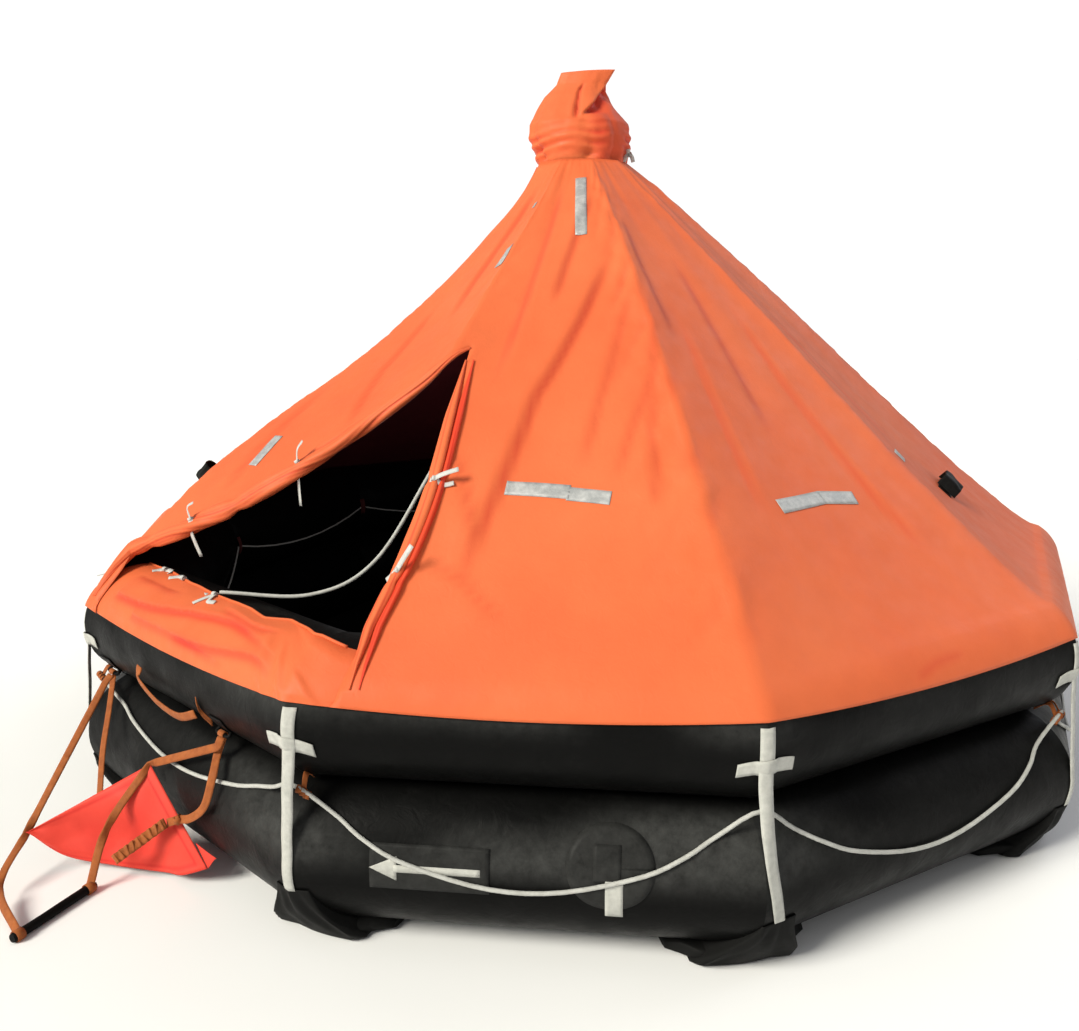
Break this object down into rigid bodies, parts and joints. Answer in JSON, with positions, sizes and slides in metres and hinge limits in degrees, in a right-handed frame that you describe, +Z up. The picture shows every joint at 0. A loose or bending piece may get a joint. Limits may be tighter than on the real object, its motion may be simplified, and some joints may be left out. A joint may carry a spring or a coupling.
{
  "type": "canopied raft",
  "caption": "Ten-sided inflatable life raft with two stacked tubes, a tent canopy with an open doorway, grab lines and a boarding ladder.",
  "frame": {"origin": "the middle of the raft's flat underside, on the floor", "axes": "+Z up; the open doorway and the boarding ladder face -Y; +X to the right of the doorway seen from outside, so facing +Y"},
  "size_m": [4.0736, 4.3866, 2.62],
  "materials": {
    "tube_rubber": "black rubber-coated cloth, satin, slightly dusty",
    "floor_cloth": "black rubber-coated cloth, matte",
    "mast_cloth": "dark red coated cloth",
    "canopy_cloth": "orange coated canopy cloth, fine weave",
    "roll_cloth": "red-orange lining of the rolled door edge",
    "white_webbing": "white woven webbing",
    "white_rope": "white laid rope",
    "brown_webbing": "orange-brown woven webbing",
    "black_trim": "black coated cloth",
    "rung_black": "black covered rung",
    "step_cloth": "coral-red coated cloth",
    "reflective_tape": "grey reflective tape with a fine cell pattern"
  },
  "bodies": {
    "raft": {"tube_lower": "tube_rubber", "tube_upper": "tube_rubber", "floor_underlay": "floor_cloth", "floor_mat": "floor_cloth", "centre_mast": "mast_cloth", "canopy_gore_01": "canopy_cloth", "canopy_gore_02": "canopy_cloth", "canopy_gore_03": "canopy_cloth", "canopy_gore_04": "canopy_cloth", "canopy_gore_05": "canopy_cloth", "canopy_gore_06": "canopy_cloth", "canopy_gore_07": "canopy_cloth", "canopy_gore_08": "canopy_cloth", "canopy_gore_09": "canopy_cloth", "canopy_gore_10": "canopy_cloth", "peak_bundle": "canopy_cloth", "door_sill_flap": "canopy_cloth", "door_curtain_roll": "canopy_cloth", "rear_curtain": "canopy_cloth", "door_edge_roll": "roll_cloth", "corner_strap_01": "white_webbing", "corner_strap_02": "white_webbing", "corner_strap_03": "white_webbing", "corner_strap_04": "white_webbing", "corner_strap_05": "white_webbing", "corner_strap_06": "white_webbing", "corner_strap_07": "white_webbing", "corner_strap_08": "white_webbing", "corner_strap_09": "white_webbing", "corner_strap_10": "white_webbing", "lifeline_outer": "white_rope", "lifeline_inner": "white_rope", "door_rope": "white_rope", "grab_handle": "brown_webbing", "ladder_anchor_left": "black_trim", "ladder_anchor_right": "black_trim", "vent_collar_left": "black_trim", "vent_collar_right": "black_trim"},
    "ladder": {"ladder_strap_left": "brown_webbing", "ladder_strap_right": "brown_webbing", "ladder_rung": "rung_black", "ladder_step": "step_cloth"}
  },
  "joints": [
    {"name": "ladder_swing", "type": "hinge", "parent": "raft", "child": "ladder", "pos_m": [0, -1.8685, 0.4917], "axis": [-1, 0, 0], "range_deg": [0, 50]}
  ]
}
